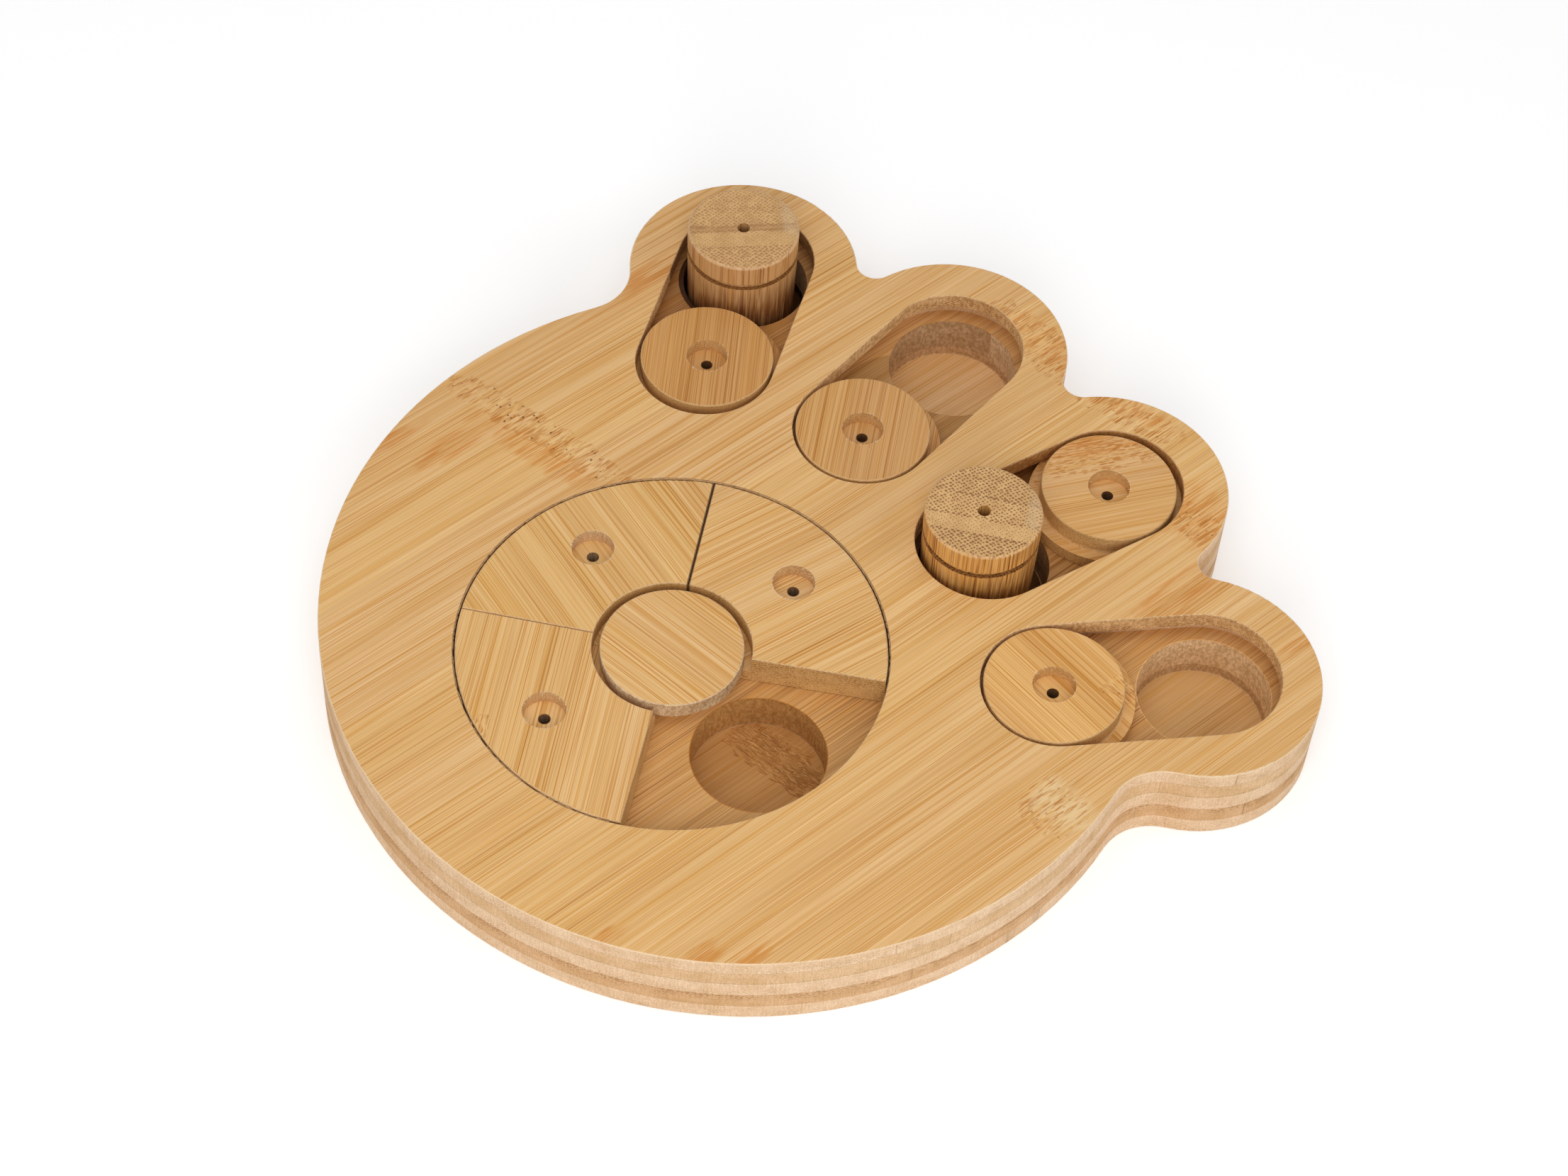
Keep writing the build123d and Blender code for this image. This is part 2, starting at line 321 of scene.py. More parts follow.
def build_wood_colour():
    tree, given, out = start_group(
        "Bamboo colour",
        dict(Light="Color", Dark="Color", **dict.fromkeys((*MASKS, "Knuckle", "Stain", "Strength"), "Float")),
        dict(Colour="Color"))
    colour = tint(given["Light"], blend(given["Strip Tone"], (1.02, 1.01, 0.96), (0.98, 0.965, 1.0)))
    for mask, low, high in ((given["Tone"], (0.95, 0.92, 0.86), (1.03, 1.045, 1.09)),
                            (given["Band"], (1.01, 1.01, 1.02), (0.965, 0.89, 0.72)),
                            (fade(given["Hair"], 0.32, 0.68), (0.945, 0.895, 0.81), (1.035, 1.065, 1.13))):
        colour = tint(colour, blend(mask, low, high))
    colour = tint(colour, STAIN_TINT, given["Stain"])
    colour = tint(colour, KNUCKLE_TINT, given["Knuckle"])
    # Threads are browner where the strip is deep in tone.
    browner = tint(given["Dark"], DEEP_TINT, fade(given["Tone"], 0.45, 0.1, 0.0, 0.8))
    colour = blend(calc("MULTIPLY", given["Thread"], given["Strength"], clamp=True), colour, browner)
    colour = blend(given["Dash"], colour, DASH_BROWN)
    colour = blend(times(given["Dot"], 0.9), colour, DOT_BROWN)
    colour = blend(times(given["Seam"], 0.10), colour, SEAM_BROWN)
    feed(out["Colour"], colour)
    return tree


wood_colour = build_wood_colour()
print("colour group has", len(wood_colour.nodes), "nodes")

# %% [markdown]
# ## Cut walls
# A router leaves walls that a finish hardly changes: matt, with fine specks and fuzz where fibres tore. Each strip in
# a ply has its own tone there. The bundles end in dots, and they crowd towards the side of the strip that was the
# skin of the stem.

# %% Build the cut wall group
FUZZ_LOW, FUZZ_HIGH = (0.87, 0.83, 0.78), (1.08, 1.11, 1.15)
LUMP_LOW, LUMP_HIGH = (0.82, 0.78, 0.71), (1.12, 1.15, 1.20)
BUNDLE_TINT, WALL_JOINT_BROWN = (0.56, 0.46, 0.35), (0.30, 0.15, 0.07)


def build_cut_wall():
    tree, given, out = start_group(
        "Cut wall",
        dict(Object_Place="Vector", Pale="Color", Warm="Color",
             **dict.fromkeys(("Bundle", "Seam", "Strip_Tone", "Skin", "Rough"), "Float")),
        dict(Colour="Color", Fuzz="Float"))
    place, strip_tone = given["Object Place"], given["Strip Tone"]
    speck = blotches(place, (0.4, 0.4, 0.5), rough=0.6)
    combed = blotches(place, (0.45, 0.45, 4.0), (3, 1, 7), rough=0.6)
    cloudy = blotches(place, (9, 9, 5), (5, 2, 1))
    lumpy = blotches(place, (1.1, 1.1, 1.6), (2, 7, 4), rough=0.6)
    fuzz = scale_add(speck, 0.65, times(combed, 0.35))
    feed(out["Fuzz"], fuzz)
    lean = scale_add(strip_tone, 0.45, times(fade(cloudy, 0.3, 0.7), 0.55))
    colour = blend(lean, given["Pale"], given["Warm"])
    colour = tint(colour, blend(fade(fuzz, 0.36, 0.64), FUZZ_LOW, FUZZ_HIGH))
    colour = tint(colour, blend(fade(lumpy, 0.36, 0.64), LUMP_LOW, LUMP_HIGH), given["Rough"])
    dots = times(given["Bundle"], scale_add(given["Skin"], 0.85, 0.12),
                 fade(cloudy, 0.38, 0.58, 0.35, 1.0))
    colour = tint(colour, BUNDLE_TINT, dots)
    joint = times(given["Seam"], fade(strip_tone, 0.45, 0.9, 0.05, 0.7))
    feed(out["Colour"], blend(joint, colour, WALL_JOINT_BROWN))
    return tree


cut_wall = build_cut_wall()
print("cut wall group has", len(cut_wall.nodes), "nodes")

# %% [markdown]
# ## Inside and outside walls
# The outer rim was sanded and is pale. The walls of the slots and pockets are as the cutter left them, and browner.
# Both are on the same plies, so a group tells them apart: it measures how far a place is from the middle line of
# each slot and from the round opening. The paw is the same on both sides, so one side is measured with x made
# positive.

# %% Build the openings group
SLOT_LINES = [((29.77, 103.8), (37.9, 151.3)), ((83.95, 82.2), (110.6, 122.4))]
SLOT_REACH, RING_REACH = 26.0, 71.0


def build_openings():
    tree, given, out = start_group("Openings", dict(Object_Place="Vector"), dict(Inside="Float"))
    x, y, _ = split(given["Object Place"])
    folded = join(calc("ABSOLUTE", x), y, 0.0)
    nearest = calc("SUBTRACT", diagonal(x, y), RING_REACH)
    for near, far in SLOT_LINES:
        angle = math.degrees(math.atan2(far[1] - near[1], far[0] - near[0]))
        middle = ((near[0] + far[0]) / 2, (near[1] + far[1]) / 2)
        along, beside, _ = split(measured_from(folded, middle, angle))
        past = calc("MAXIMUM", calc("SUBTRACT", calc("ABSOLUTE", along), math.dist(near, far) / 2), 0)
        off = calc("SUBTRACT", diagonal(past, beside), SLOT_REACH)
        nearest = calc("MINIMUM", nearest, off)
    feed(out["Inside"], fade(nearest, 1.0, -1.0))
    return tree


openings = build_openings()
print("openings group has", len(openings.nodes), "nodes")

# %% [markdown]
# ## End grain
# Seen from its end, bamboo is a field of bundle ends: brown dots in staggered rows, crowded and dark towards the skin
# of the stem and sparse in the pith. A block is laminated from slices, so that pattern starts again at each glue
# line. The group paints dots whose size and crowding come in from outside.

# %% Build the end grain group
END_PALE, END_SHADE, END_WEAR = (0.70, 0.425, 0.180), (0.45, 0.36, 0.28), (0.66, 0.46, 0.27)


def build_end_grain():
    tree, given, out = start_group(
        "End grain", dict(Place="Vector", Dark="Color", Size="Float", Shade="Float", Pale_Wear="Float"),
        dict(Colour="Color", Dots="Float"))
    wander = blotches(given["Place"], (6, 6, 6), detail=1.0)
    x, y, _ = split(given["Place"])
    rows = squeeze(join(scale_add(wander, 1.6, x), y, 0.0), (1.22, 1.06, 1.0), turn=45)
    off, (girth, _, _) = cells(rows, "2D", 0.36)
    reach = times(given["Size"], scale_add(girth, 0.45, 0.75))
    dots = fade(calc("DIVIDE", off, reach), 1.25, 0.7)
    feed(out["Dots"], dots)
    cloudy = blotches(given["Place"], (5, 5, 5), (3, 1, 0))
    speck = blotches(given["Place"], (0.35, 0.35, 0.35), rough=0.6)
    colour = tint(blend(fade(cloudy, 0.35, 0.65), (0.93, 0.91, 0.88), (1.06, 1.07, 1.08)), END_PALE)
    colour = tint(colour, blend(fade(speck, 0.35, 0.65), (0.92, 0.90, 0.88), (1.07, 1.09, 1.11)))
    colour = tint(colour, END_SHADE, times(given["Shade"], 0.55))
    colour = blend(times(dots, 0.82), colour, given["Dark"])
    colour = blend(times(given["Pale Wear"], fade(speck, 0.3, 0.55)), colour, END_WEAR)
    feed(out["Colour"], colour)
    return tree


end_grain = build_end_grain()
print("end grain group has", len(end_grain.nodes), "nodes")

# %% [markdown]
# ## Marks on a piece
# Knuckles, stains and other marks are soft patches, given by their place along and across the grain. Places that
# light never reaches, such as a pocket's wall, get painted shade inside a circle in plan, and a few get painted light.
# Glue lines and knots are drawn a little ragged, because the wall they lie on is.

# %% Mark helpers
GLUE_STRENGTHS = (0.15, 0.2, 0.5, 0.25)
GLUE_BROWN, KNOT_BROWN = (0.30, 0.16, 0.08), (0.42, 0.19, 0.07)


def patches(place, spots, ragged=0.0):
    """Soft patches given as (along, across, half length, half width, slope) in the grain's millimetres."""
    total = 0.0
    for along, across, half_length, half_width, *slope in spots:
        x, y, _ = split(place)
        x, y = calc("SUBTRACT", x, along), calc("SUBTRACT", y, across)
        if slope:
            x = scale_add(y, -slope[0], x)
        x, y = calc("DIVIDE", x, half_length), calc("DIVIDE", y, half_width)
        if ragged:
            bite = calc("SUBTRACT", blotches(place, (7, 5, 5), detail=1.0), 0.5)
            x = calc("ADD", x, times(bite, ragged))
        far = calc("ADD", times(x, x), calc("POWER", calc("ABSOLUTE", y), 4.0))
        total = calc("MAXIMUM", total, fade(far, 1.3, 0.1))
    return total


def shade_round(colour, here, places):
    """Tints the colour inside circles given as (middle, reach, tint) in millimetres: painted shade where the tint is
    below one, painted light where it is above.
    """
    for middle, reach, shade in places:
        colour = tint(colour, shade, fade(distance_from(here, middle), reach + 0.3, reach))
    return colour


def draw_glue_lines(colour, height, fuzz):
    for level, strength in zip(glue_levels, GLUE_STRENGTHS):
        ragged = scale_add(fuzz, 0.25, level - 0.125)
        gap = calc("ABSOLUTE", calc("SUBTRACT", height, ragged))
        colour = blend(times(fade(gap, 0.15, 0.03), strength), colour, GLUE_BROWN)
    return colour


def draw_knots(colour, here, fuzz, knots):
    """Knots are given as (x, y, z, reach) in millimetres."""
    for *middle, reach in knots:
        far = add("ShaderNodeVectorMath", operation="LENGTH")
        feed(far.inputs[0], squeeze(here, (reach, reach, reach), [-m / reach for m in middle]))
        ragged = scale_add(fuzz, 0.9, calc("SUBTRACT", far.outputs["Value"], 0.45))
        colour = blend(fade(ragged, 1.1, 0.5, 0.0, 0.85), colour, KNOT_BROWN)
    return colour


print("mark helpers ready")

# %% [markdown]
# ## Upright grain
# A plug is turned with its grain upright. Its top is end grain in slices, and its round side shows the threads. Each
# slice is given by where it starts and ends across the plug, the size of its dots, how dark it is, and whether its
# border wanders.

# %% Plug painting
plug_top = top_of("plug_toe_1")
# The foot's and the ledge's tints are painted shade.
FOOT_SHADE, LEDGE_SHADE = (0.42, 0.27, 0.17), (0.52, 0.40, 0.28)
WORN_CORNER = (16.0, 4.0, 3.5, 9.0)


def slice_masks(spot, slices):
    behind = split(spot)[1]
    wavy = calc("ADD", behind, scale_add(blotches(spot, (9, 9, 9)), 2.4, -1.2))
    size = shade = 0.0
    for low, high, radius, dark_share, loose in slices:
        at = wavy if loose else behind
        mask = times(fade(at, low - 0.4 - loose, low + 0.2), fade(at, high + 0.4 + loose, high - 0.2))
        size, shade = scale_add(mask, radius, size), scale_add(mask, dark_share, shade)
    return size, shade


def paint_upright(here, place, face, is_face, middle, turn, slices, dot_tone):
    spot = measured_from(here, middle, turn)
    size, shade = slice_masks(spot, slices)
    wear = times(patches(spot, [WORN_CORNER], 1.5), 0.55)
    ends = use_group(end_grain, Place=spot, Size=size, Shade=shade, Pale_Wear=wear, Dark=dot_tone)
    # The side darkens in streaks towards the foot: painted shade.
    height = split(here)[2]
    smear = fade(blotches(place, (16, 0.5, 0.5), (9, 2, 7)), 0.40, 0.58, 0.15, 0.9)
    side = tint(face, FOOT_SHADE, times(fade(height, plug_top - 8.0, plug_top - 24.0), smear))
    # Painted shade darkens the finger groove's ledge.
    end = tint(ends["Colour"], LEDGE_SHADE, fade(height, plug_top - 0.8, plug_top - 1.2))
    return blend(is_face, side, end), ends["Dots"]


print("plugs reach up to", round(plug_top, 2), "mm")

# %% [markdown]
# ## Finger dishes
# A finger dish is bored across the grain, so its rim and its wall keep a pale torn edge. No hand polishes its floor,
# which stays lighter. The hole in it lets the scent out, and its wall is darkened with painted shade. Both are found on
# the solids, so the paint can't miss them.

# %% Find and paint the finger dishes
DISH_DEPTH, HOLE_WITHIN = 4.7, 6.0
ROUND_DISH, IN_DISH = (8.2, 7.6), (7.0, 6.6)
HOLE_SHADE, DISH_FLOOR_TINT, FLUFF = (0.22, 0.15, 0.10), (1.12, 1.20, 1.30), (0.70, 0.50, 0.31)


def dish_place(node):
    """The middle of a piece's finger dish, in millimetres: the middle of the flat floor at the dish's depth."""
    floor = (top_of(node) - DISH_DEPTH) * MM
    flat = [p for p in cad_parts[node].data.polygons
            if p.normal.z > 0.99 and abs(p.center.z - floor) < 0.02 * MM]
    middle = sum((p.center * p.area for p in flat), Vector()) / sum(p.area for p in flat)
    return round(middle.x / MM, 2), round(middle.y / MM, 2)


def hole_place(node):
    """The scent hole in the dish's floor as its middle, its reach and the painted shade of its wall."""
    x, y = dish_place(node)
    floor = (top_of(node) - DISH_DEPTH) * MM
    wall = [p.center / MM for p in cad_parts[node].data.polygons
            if abs(p.normal.z) < 0.1 and p.center.z < floor
            and math.dist((p.center.x / MM, p.center.y / MM), (x, y)) < HOLE_WITHIN]
    low, high = ([pick(c[i] for c in wall) for i in (0, 1)] for pick in (min, max))
    return ((low[0] + high[0]) / 2, (low[1] + high[1]) / 2), (high[0] - low[0]) / 2, HOLE_SHADE


def paint_dish(colour, worn, here, middle, is_face, is_edge, nicks, fuzz, torn):
    off = distance_from(here, middle)
    near = fade(off, *ROUND_DISH)
    worn = calc("MAXIMUM", worn, times(near, is_edge, fade(nicks, 0.36, 0.55, 0.4, 0.9)))
    fluff = times(near, calc("SUBTRACT", 1.0, is_face), fade(fuzz, 0.40, 0.62, 0.3 * torn, torn))
    colour = blend(fluff, colour, FLUFF)
    return tint(colour, DISH_FLOOR_TINT, times(fade(off, *IN_DISH), is_face)), worn


for node in ("ring_tile_a", "ring_tile_b", "ring_tile_c", "toe_slider_1", "toe_slider_2", "toe_slider_3",
             "toe_slider_4"):
    (x, y), reach, _ = hole_place(node)
    print(node, "has its dish at", dish_place(node), "and its hole at", [round(v, 2) for v in (x, y, reach)])

# %% [markdown]
# ## One recipe for every wooden piece
# A piece says which way its grain runs, its colours, and where its knuckles are. The material turns the object's own
# coordinates into the grain's, asks the fibre group for masks, paints faces and walls, and uses the slope of the
# surface to tell them apart: a face looks up or down, a wall looks sideways, and a rounded edge is in between, where
# sanding left it pale. The finish soaks in, so faces have a soft sheen and cut walls have none.

# %% Colours of the wood
PITH, THREAD, CREAM = (0.795, 0.508, 0.224), (0.585, 0.250, 0.042), (0.83, 0.595, 0.31)
RIM_WALLS = (0.87, 0.625, 0.405), (0.76, 0.495, 0.275)
CUT_WALLS = (0.60, 0.375, 0.19), (0.50, 0.290, 0.130)
TAN_WALLS = (0.68, 0.395, 0.145), (0.58, 0.315, 0.105)
# The joint colour is painted shade along the gaps between tiles.
EDGE_PALE, JOINT_SHADE = (0.88, 0.68, 0.45), (0.10, 0.045, 0.018)
ALONG_CUT_TINT = (1.07, 1.11, 1.17)
print("pith and thread colours:", PITH, THREAD)

# %% Paint a sanded face
def paint_face(turned, place, light, dark, strength, strip, short, knuckles, stains, bleached, dotted,
               dotted_more):
    """Gives the fibre masks and the colour of a face cut along the grain."""
    knuckle = patches(turned, knuckles, 1.0)
    grown = use_group(fibres, Place=place, Strip=strip, Knuckle=knuckle, Short=short)
    stain = patches(turned, stains, 1.0)
    if stains:
        smear = blotches(place, (16, 0.6, 0.6), (9, 2, 7), detail=3.0)
        stain = times(stain, fade(smear, 0.44, 0.60, 0.12, 1.0))
    if dotted_more:
        dotted = scale_add(patches(turned, dotted_more), 1.0 - dotted, dotted)
    masks = {mask: grown[mask.replace("_", " ")] for mask in MASKS}
    masks["Dot"] = times(masks["Dot"], dotted)
    face = use_group(wood_colour, Light=light, Dark=dark, Knuckle=knuckle, Stain=stain, Strength=strength,
                     **masks)["Colour"]
    if bleached:
        # Where a knuckle is sanded through, cream pith shows between the dashes.
        cream = fade(blotches(place, (5.5, 0.75, 0.75), (3, 7, 1)), 0.46, 0.54, 0.1, 0.85)
        face = blend(times(patches(turned, bleached, 1.0), cream), face, CREAM)
    return grown, face


print("face painter ready")

# %% Set sheen and relief
GLOSS, SPECULAR = 0.45, 0.18
RELIEF, RELIEF_STRENGTH = 0.2, 0.35


def set_surface(shader, grown, dots, raw, fuzz):
    """Threads stand a little proud of a face, and a raw cut wall is matt and rough."""
    shader.inputs["Specular IOR Level"].default_value = SPECULAR
    sheen = scale_add(grown["Thread"], 0.08, GLOSS)
    feed(shader.inputs["Roughness"], scale_add(raw, 0.35, sheen))
    grooves = scale_add(calc("ADD", grown["Thread"], dots), -0.35, grown["Hair"])
    rough_face = times(grooves, 0.2, calc("SUBTRACT", 1.0, raw))
    bump = add("ShaderNodeBump")
    bump.inputs["Strength"].default_value = RELIEF_STRENGTH
    bump.inputs["Distance"].default_value = RELIEF * MM
    feed(bump.inputs["Height"], scale_add(times(fuzz, raw), 1.3, rough_face))
    feed(shader.inputs["Normal"], bump.outputs[0])


print("relief is", RELIEF, "mm deep")

# %% The recipe
def bamboo(name, grain=90.0, shift=(0, 0, 0), light=PITH, dark=THREAD, strength=0.92, strip=20.0, short=1.2,
           knuckles=(), stains=(), bleached=(), dotted=0.5, dotted_more=(), walls=RIM_WALLS, rough=0.0, skin=None,
           crowd=0.5, cut_walls=None, inner_crowd=0.0, inner_dots=1.0, dull_walls=(), dingy=(), knots=(),
           worn_edge=0.9, dish=None, torn=0.8, joint=None, upright=None):
    """Grain is the way the fibres run, in degrees from the board's x axis. Upright holds a plug's slices."""
    material = bpy.data.materials.new(name)
    material.use_nodes = True
    tree = draw_in(material.node_tree)
    shader = tree.nodes["Principled BSDF"]
    coords = add("ShaderNodeTexCoord")
    here = squeeze(coords.outputs["Object"], (MM, MM, MM))
    height = split(here)[2]
    turned = measured_from(here, angle=grain)
    if upright:
        x, y, z = split(turned)
        turned = join(z, times(x, 0.62), times(y, 0.62))
    place = squeeze(turned, (1, 1, 1), shift)
    grown, face = paint_face(turned, place, light, dark, strength, strip, short, knuckles, stains, bleached,
                             dotted, dotted_more)
    # Walls. Those inside the openings have their own colours, more fuzz and weaker seams.
    (pale, warm), bundle, seam = walls, grown["Bundle"], grown["Seam"]
    skin_share = fade(height, *skin, 0.0, crowd) if skin else crowd
    if cut_walls:
        rough = use_group(openings, Object_Place=here)["Inside"]
        weaker = scale_add(rough, -0.7, 1.0)
        seam = times(seam, weaker)
        skin_share = scale_add(rough, inner_crowd, skin_share)
        bundle = times(bundle, scale_add(rough, inner_dots - 1.0, 1.0))
        pale, warm = blend(rough, pale, cut_walls[0]), blend(rough, warm, cut_walls[1])
    wall = use_group(cut_wall, Object_Place=here, Pale=pale, Warm=warm, Bundle=bundle, Seam=seam,
                     Strip_Tone=grown["Strip Tone"], Skin=skin_share, Rough=rough)
    fuzz = wall["Fuzz"]
    # A wall cut along the grain is smoother and paler than one cut across it.
    facing = measured_from(coords.outputs["Normal"], angle=grain)
    along_cut = fade(calc("ABSOLUTE", split(facing)[1]), 0.55, 0.98)
    wall_colour = tint(wall["Colour"], ALONG_CUT_TINT, along_cut)
    if skin:
        wall_colour = draw_glue_lines(wall_colour, height, fuzz)
    # Painted shade and painted light on the walls, inside circles.
    wall_colour = shade_round(wall_colour, here, dull_walls)
    # Faces, walls and the rounded edges between them.
    slope = calc("ABSOLUTE", split(coords.outputs["Normal"])[2])
    is_face = fade(slope, 0.80, 0.97)
    is_edge = times(fade(slope, 0.15, 0.4), fade(slope, 0.98, 0.8))
    if upright:
        colour, dots = paint_upright(here, place, face, is_face, **upright)
        raw = 0.0
    else:
        colour, dots = blend(is_face, wall_colour, face), 0.0
        raw = calc("SUBTRACT", 1.0, is_face)
    # Painted shade and painted light inside circles, on faces and walls alike.
    colour = shade_round(colour, here, dingy)
    colour = draw_knots(colour, here, fuzz, knots)
    nicks = blotches(here, (0.7, 0.7, 0.7), (2, 6, 1), rough=0.6)
    worn = times(is_edge, fade(nicks, 0.36, 0.58, 0.35 * worn_edge, worn_edge))
    if cut_walls:
        worn = times(worn, weaker)
    if dish:
        colour, worn = paint_dish(colour, worn, here, dish, is_face, is_edge, nicks, fuzz, torn)
    colour = blend(worn, colour, EDGE_PALE)
    if joint is not None:
        # The joint between two tiles stands open a little, and painted shade darkens a band along it. It runs out from
        # the hub at this angle.
        beside = split(measured_from(here, angle=joint))[1]
        colour = blend(fade(calc("ABSOLUTE", beside), 0.62, 0.42, 0.0, 0.85), colour, JOINT_SHADE)
    feed(shader.inputs["Base Color"], colour)
    set_surface(shader, grown, dots, raw, fuzz)
    return material


def dress(node, title, **wood):
    """Makes a piece's own bamboo and puts it on the solid."""
    material = bamboo(title, **wood)
    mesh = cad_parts[node].data
    mesh.materials.clear()
    mesh.materials.append(material)
    print(node, "is dressed in", material.name, "with", len(material.node_tree.nodes), "nodes")


# %% [markdown]
# ## The board
# All five plies are laid with the grain from heel to toes. Each ply is its own sheet, so each gets its own shift,
# and every second one is darker, as the real sheets alternate. The top ply has five knuckles, one of them bleached,
# and a few reddish stains, each given by its place along and across the grain.

# %% Places on the board
PLUG_1, PLUG_3, PAD_POCKET = (-111.57, 121.35), (28.27, 102.23), (41.8, 0.0)
TOE_1, TOE_2, TOE_3, TOE_4 = (-110.6, 122.4), (-37.9, 151.3), (37.9, 151.3), (110.6, 122.4)
KNUCKLES = [(21, 94, 6.5, 38, -0.23), (174, 21, 9, 25), (176, -20, 6, 20, -0.3), (161, -66, 7, 14), (51, -117, 10, 11)]
STAINS = [(-4, 106, 16, 5), (15, 90, 6, 26, -0.23), (-22, 120, 16, 4), (89, 125, 18, 5), (138, -84, 24, 8),
          (164, -66, 13, 17), (176, 18, 8, 20), (178, -18, 5, 16, -0.3), (155, -121, 14, 3.5), (-81, -69, 7, 3),
          (-63, -91, 7, 4), (-52, -100, 7, 4)]
print(len(KNUCKLES), "knuckles and", len(STAINS), "stains on the top ply")

# %% [markdown]
# ## Light that never gets in
# The slots' ends and the plugs' pockets are near black, and the pocket of toe 2 has a paler strip in its wall. These
# are painted shade and painted light, as tints inside circles. On walls they stop at the pocket's own wall, and on
# floors just inside it.

# %% Shades of the openings
# Painted shade and painted light: a tint below one darkens, a tint above one brightens.
SLOT_END_SHADE = [((0.0, 0.0), 71.0, (0.50, 0.42, 0.33)), (TOE_1, 26.0, (0.40, 0.33, 0.25)),
             (TOE_3, 36.0, (0.62, 0.46, 0.29))]
POCKET_WALL_LIGHT_AND_SHADE = [(PLUG_3, 21.1, (0.20, 0.14, 0.09)), (PLUG_1, 21.1, (0.14, 0.09, 0.06)),
                ((-99.0, 105.0), 30.0, (0.84, 0.76, 0.66)), ((-34.0, 127.0), 24.0, (0.74, 0.72, 0.66)),
                ((33.0, 126.0), 24.0, (0.80, 0.76, 0.70)), ((8.0, 134.0), 12.5, (0.60, 0.48, 0.38)),
                (PAD_POCKET, 21.1, (0.86, 0.69, 0.41)), (TOE_4, 21.1, (1.35, 1.50, 1.65)),
                (TOE_2, 21.1, (0.93, 0.94, 0.98))]
# The paler strip is painted light.
PAINTED_LIGHT_STRIP = [((-24.0, 164.0), 18.7, (1.32, 1.46, 1.64))]
POCKET_FLOOR_LIGHT_AND_SHADE = [(PLUG_3, 22.5, (0.20, 0.14, 0.09)), (PLUG_1, 22.5, (0.14, 0.09, 0.06)),
                 (PAD_POCKET, 20.9, (0.74, 0.61, 0.49)), (TOE_4, 20.9, (1.02, 1.04, 1.05)),
                 (TOE_2, 20.9, (1.14, 1.16, 1.24))]
print(len(SLOT_END_SHADE + POCKET_WALL_LIGHT_AND_SHADE + PAINTED_LIGHT_STRIP + POCKET_FLOOR_LIGHT_AND_SHADE), "shaded circles")

# %% Dress the plies
lower, middle, upper, channel = glue_levels
# Each ply gets painted shade and painted light inside circles at its pockets and slots.
dress("lip_ply", "Lip ply bamboo", shift=(0, 3, 0), skin=(board_top, board_top - 5), knuckles=KNUCKLES,
      stains=STAINS, crowd=0.45, dotted_more=[(20, 94, 9, 40, -0.23)], dull_walls=SLOT_END_SHADE,
      bleached=[(54, -118, 8, 11)], cut_walls=((0.76, 0.470, 0.212), (0.65, 0.375, 0.155)), inner_crowd=0.55)
dress("channel_ply", "Channel ply bamboo", shift=(310, 8, 9), crowd=0.7, skin=(channel - 5, upper),
      walls=((0.80, 0.530, 0.300), (0.68, 0.41, 0.190)), cut_walls=CUT_WALLS, inner_dots=0.4, dull_walls=SLOT_END_SHADE)
dress("base_ply_upper", "Floor ply bamboo", shift=(620, 13, 19), crowd=0.3, skin=(upper, middle),
      light=(0.69, 0.385, 0.145), dark=(0.34, 0.13, 0.03), cut_walls=CUT_WALLS, inner_dots=0.15, worn_edge=0.3,
      dingy=POCKET_WALL_LIGHT_AND_SHADE, dull_walls=PAINTED_LIGHT_STRIP)
dress("base_ply_middle", "Middle ply bamboo", shift=(930, 5, 29), crowd=1.0, skin=(middle - 4.5, middle - 0.5),
      walls=((0.755, 0.465, 0.245), (0.63, 0.355, 0.155)), cut_walls=CUT_WALLS, inner_dots=0.15, worn_edge=0.0,
      dingy=POCKET_WALL_LIGHT_AND_SHADE, dull_walls=PAINTED_LIGHT_STRIP)
dress("base_ply_lower", "Lower ply bamboo", shift=(1240, 11, 39), crowd=0.25, skin=(lower, lower - 5),
      knuckles=[(10.6, -41, 5.5, 19)], dotted=0.3, knots=[(80.6, -72.1, 2.6, 1.9), (79.0, -73.5, 5.0, 0.9)],
      cut_walls=CUT_WALLS, inner_dots=0.15, worn_edge=0.0, dingy=POCKET_FLOOR_LIGHT_AND_SHADE)

# %% [markdown]
# ## Tiles, hub and sliders
# These were cut from other parts of the sheet and turned as they fell into place, so each has its own grain direction.
# All but the hub have a finger dish.

